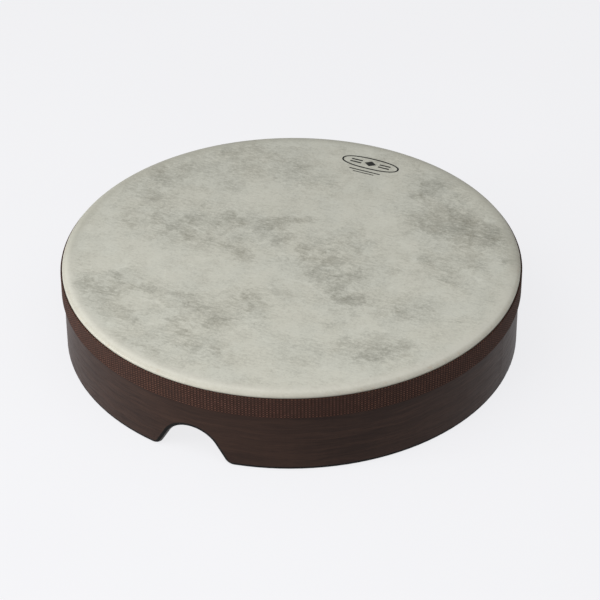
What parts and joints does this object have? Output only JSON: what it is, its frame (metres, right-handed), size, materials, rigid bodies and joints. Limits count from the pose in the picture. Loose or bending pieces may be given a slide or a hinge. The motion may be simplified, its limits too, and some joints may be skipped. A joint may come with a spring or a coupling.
{
  "type": "hand frame drum",
  "caption": "Shallow round hand frame drum: laminated wood shell with a half-round hand notch, bonded mottled film head and a woven tape round the rim.",
  "frame": {"origin": "centre of the open edge, on the plane that the drum rests on", "axes": "+Z from the open edge up through the head; -Y through the middle of the hand notch; +X to the right of a viewer who faces the notch"},
  "size_m": [0.3336, 0.3336, 0.0661],
  "materials": {
    "shell_face": "satin dark brown wood grain with a sealed edge",
    "shell_core": "plies, sealed dark where they show at the open edge",
    "shell_inside": "matte dark brown",
    "head_fibre": "mottled translucent fibre laminate",
    "head_film": "clear polyester film",
    "woven_tape": "plain woven, dark red-brown",
    "adhesive": "cured contact adhesive"
  },
  "bodies": {
    "root": {"shell_inner_face_ply": "shell_inside", "shell_inner_cross_ply": "shell_core", "shell_core_ply": "shell_core", "shell_outer_cross_ply": "shell_core", "shell_outer_face_ply": "shell_face", "head_bond": "adhesive", "tape_bond": "adhesive", "head_film": "head_film", "head_fibre_layer": "head_fibre", "rim_tape": "woven_tape"}
  },
  "joints": []
}
